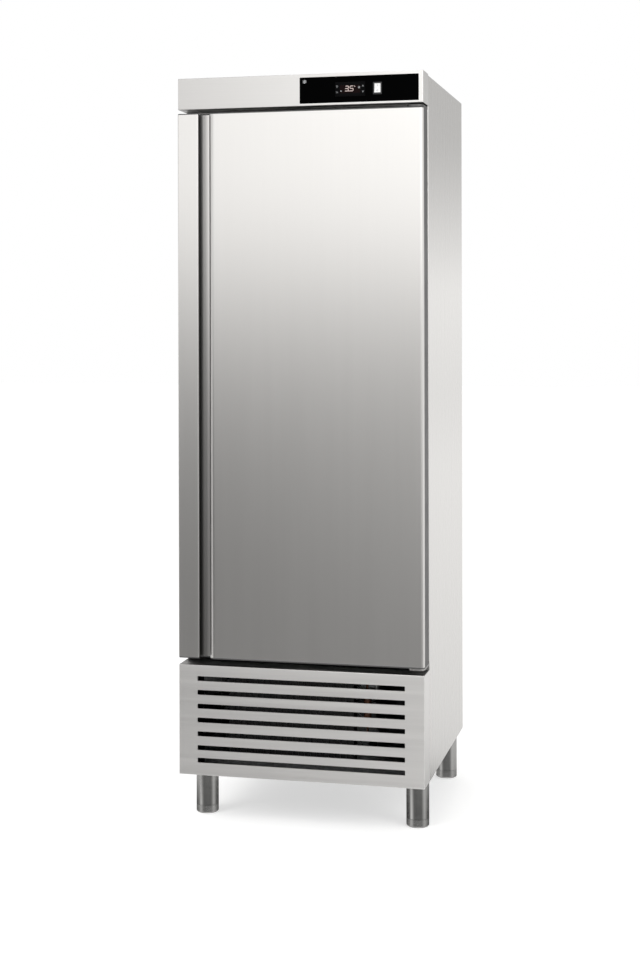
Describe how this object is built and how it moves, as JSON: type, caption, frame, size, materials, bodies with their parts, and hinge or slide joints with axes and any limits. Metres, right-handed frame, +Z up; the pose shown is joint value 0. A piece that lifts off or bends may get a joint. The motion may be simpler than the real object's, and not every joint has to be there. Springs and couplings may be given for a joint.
{
  "type": "commercial upright refrigerator",
  "caption": "Tall stainless commercial refrigerator with a full-height hinged door and integral grip channel, control fascia, louvred lower grille, wire shelves and levelling legs.",
  "frame": {"origin": "centre of the footprint on the floor", "axes": "+Z up, the door faces -Y, +X is the hinge side"},
  "size_m": [0.6942, 0.726, 2.08],
  "materials": {
    "stainless": "satin",
    "liner_steel": "satin",
    "galvanised": "satin",
    "plated_steel": "satin",
    "zinc_bolts": "satin",
    "foot_steel": "satin",
    "foam": "matte",
    "grey_plastic": "satin",
    "trim_grey": "satin",
    "white_plastic": "gloss",
    "black_panel": "gloss",
    "black_plastic": "satin",
    "display_glass": "gloss",
    "black_paint": "satin",
    "rubber": "matte",
    "seal": "matte",
    "fin_aluminium": "satin",
    "copper": "satin",
    "shelf_wire": "satin"
  },
  "bodies": {
    "cabinet": {"side_panel_left": "stainless", "side_panel_right": "stainless", "top_panel": "stainless", "back_panel": "galvanised", "cabinet_foam": "foam", "inner_liner": "liner_steel", "breaker_frame": "grey_plastic", "base_tray": "galvanised", "legs": "stainless", "leg_bolts": "zinc_bolts", "rear_cover": "galvanised", "grille_panel": "stainless", "fascia": "stainless", "control_panel": "black_panel", "controller": "black_plastic", "display_window": "display_glass", "switch_body": "black_plastic", "hinge_brackets": "plated_steel", "hinge_pins": "plated_steel", "hinge_screws": "zinc_bolts", "compressor": "black_paint", "compressor_mounts": "rubber", "terminal_cover": "black_plastic", "condenser_coil": "black_paint", "fan_shroud": "galvanised", "condenser_fan_motor": "black_paint", "filter_drier": "copper", "refrigerant_lines": "copper", "drain_tube": "grey_plastic", "condensate_tray": "black_plastic", "cable_gland": "black_plastic", "shelf_uprights": "liner_steel", "shelf_runners": "liner_steel", "evaporator_coil": "fin_aluminium", "evaporator_cover": "liner_steel", "evaporator_fan_motor": "black_plastic", "fan_guard": "shelf_wire", "interior_lamp": "white_plastic"},
    "door": {"door_skin": "stainless", "handle_profile": "stainless", "door_side_trims": "trim_grey", "door_foam": "foam", "door_liner": "grey_plastic", "door_gasket": "seal", "door_end_caps": "grey_plastic", "hinge_bushes": "white_plastic"},
    "shelf_1": {"shelf_1": "shelf_wire"},
    "shelf_2": {"shelf_2": "shelf_wire"},
    "shelf_3": {"shelf_3": "shelf_wire"},
    "condenser_fan": {"condenser_fan": "black_plastic"},
    "evaporator_fan": {"evaporator_fan": "black_plastic"},
    "rocker": {"rocker": "white_plastic"},
    "button_up": {"button_up": "black_plastic"},
    "button_down": {"button_down": "black_plastic"},
    "button_set": {"button_set": "black_plastic"},
    "button_light": {"button_light": "black_plastic"},
    "foot_front_left": {"foot_front_left": "foot_steel"},
    "foot_front_right": {"foot_front_right": "foot_steel"},
    "foot_rear_left": {"foot_rear_left": "foot_steel"},
    "foot_rear_right": {"foot_rear_right": "foot_steel"}
  },
  "joints": [
    {"name": "door_hinge", "type": "hinge", "parent": "cabinet", "child": "door", "pos_m": [0.3245, -0.335, 1.2225], "axis": [0, 0, 1], "range_deg": [0, 120]},
    {"name": "condenser_fan_spin", "type": "hinge", "parent": "cabinet", "child": "condenser_fan", "pos_m": [-0.05, -0.198, 0.2875], "axis": [0, 1, 0], "continuous": true},
    {"name": "evaporator_fan_spin", "type": "hinge", "parent": "cabinet", "child": "evaporator_fan", "pos_m": [0, 0.095, 1.862], "axis": [0, 1, 0], "continuous": true},
    {"name": "rocker_pivot", "type": "hinge", "parent": "cabinet", "child": "rocker", "pos_m": [0.221, -0.35639, 2.035], "axis": [1, 0, 0], "range_deg": [0, 14]},
    {"name": "button_up_press", "type": "slide", "parent": "cabinet", "child": "button_up", "axis": [0, 1, 0], "range_m": [0, 0.0008], "stiffness_N_per_m": 800, "springref_m": -0.001},
    {"name": "button_down_press", "type": "slide", "parent": "cabinet", "child": "button_down", "axis": [0, 1, 0], "range_m": [0, 0.0008], "stiffness_N_per_m": 800, "springref_m": -0.001},
    {"name": "button_set_press", "type": "slide", "parent": "cabinet", "child": "button_set", "axis": [0, 1, 0], "range_m": [0, 0.0008], "stiffness_N_per_m": 800, "springref_m": -0.001},
    {"name": "button_light_press", "type": "slide", "parent": "cabinet", "child": "button_light", "axis": [0, 1, 0], "range_m": [0, 0.0008], "stiffness_N_per_m": 800, "springref_m": -0.001},
    {"name": "shelf_1_slide", "type": "slide", "parent": "cabinet", "child": "shelf_1", "axis": [0, -1, 0], "range_m": [0, 0.045]},
    {"name": "shelf_2_slide", "type": "slide", "parent": "cabinet", "child": "shelf_2", "axis": [0, -1, 0], "range_m": [0, 0.045]},
    {"name": "shelf_3_slide", "type": "slide", "parent": "cabinet", "child": "shelf_3", "axis": [0, -1, 0], "range_m": [0, 0.045]},
    {"name": "foot_front_left_thread", "type": "slide", "parent": "cabinet", "child": "foot_front_left", "axis": [0, 0, -1], "range_m": [0, 0.03]},
    {"name": "foot_front_right_thread", "type": "slide", "parent": "cabinet", "child": "foot_front_right", "axis": [0, 0, -1], "range_m": [0, 0.03]},
    {"name": "foot_rear_left_thread", "type": "slide", "parent": "cabinet", "child": "foot_rear_left", "axis": [0, 0, -1], "range_m": [0, 0.03]},
    {"name": "foot_rear_right_thread", "type": "slide", "parent": "cabinet", "child": "foot_rear_right", "axis": [0, 0, -1], "range_m": [0, 0.03]}
  ]
}
